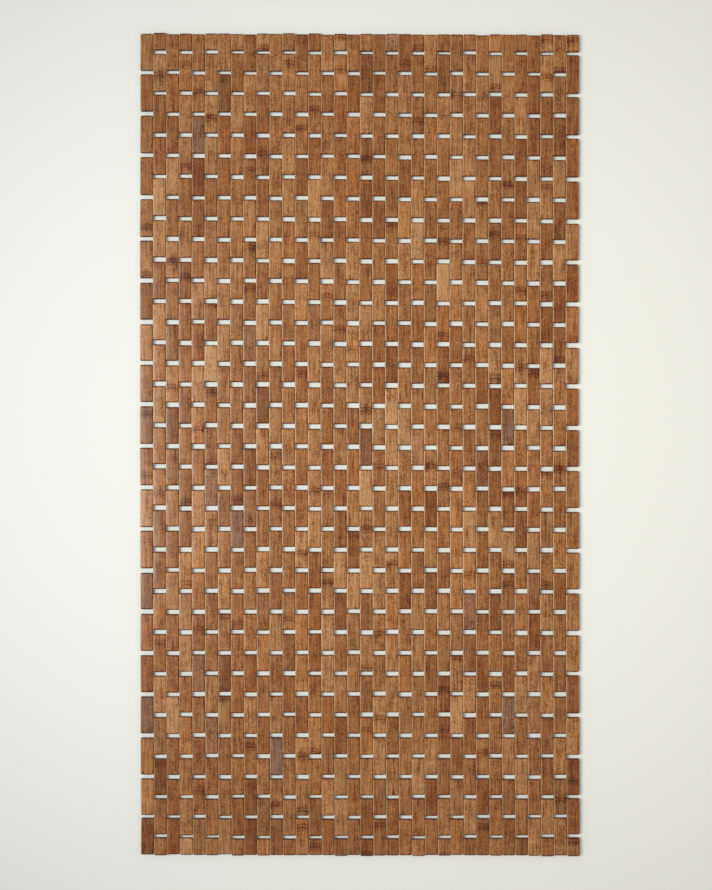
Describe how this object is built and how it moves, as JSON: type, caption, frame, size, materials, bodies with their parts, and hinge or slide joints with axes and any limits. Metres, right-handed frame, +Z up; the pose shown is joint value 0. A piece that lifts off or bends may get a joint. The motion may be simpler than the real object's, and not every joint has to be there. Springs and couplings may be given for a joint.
{
  "type": "bamboo bath mat",
  "caption": "Flat slatted bath mat of staggered bamboo blocks threaded side by side on hidden cords, with small open gaps between the block ends.",
  "frame": {"origin": "middle of the mat's underside, on the surface it lies on", "axes": "+X across the mat to its right side, +Y along the mat and along the blocks to its far end, +Z up"},
  "size_m": [0.5118, 0.9578, 0.006],
  "materials": {
    "bamboo": "satin carbonised bamboo"
  },
  "bodies": {
    "root": {"course_01": "bamboo", "course_02": "bamboo", "course_03": "bamboo", "course_04": "bamboo", "course_05": "bamboo", "course_06": "bamboo", "course_07": "bamboo", "course_08": "bamboo", "course_09": "bamboo", "course_10": "bamboo", "course_11": "bamboo", "course_12": "bamboo", "course_13": "bamboo", "course_14": "bamboo", "course_15": "bamboo", "course_16": "bamboo", "course_17": "bamboo", "course_18": "bamboo", "course_19": "bamboo", "course_20": "bamboo"}
  },
  "joints": []
}
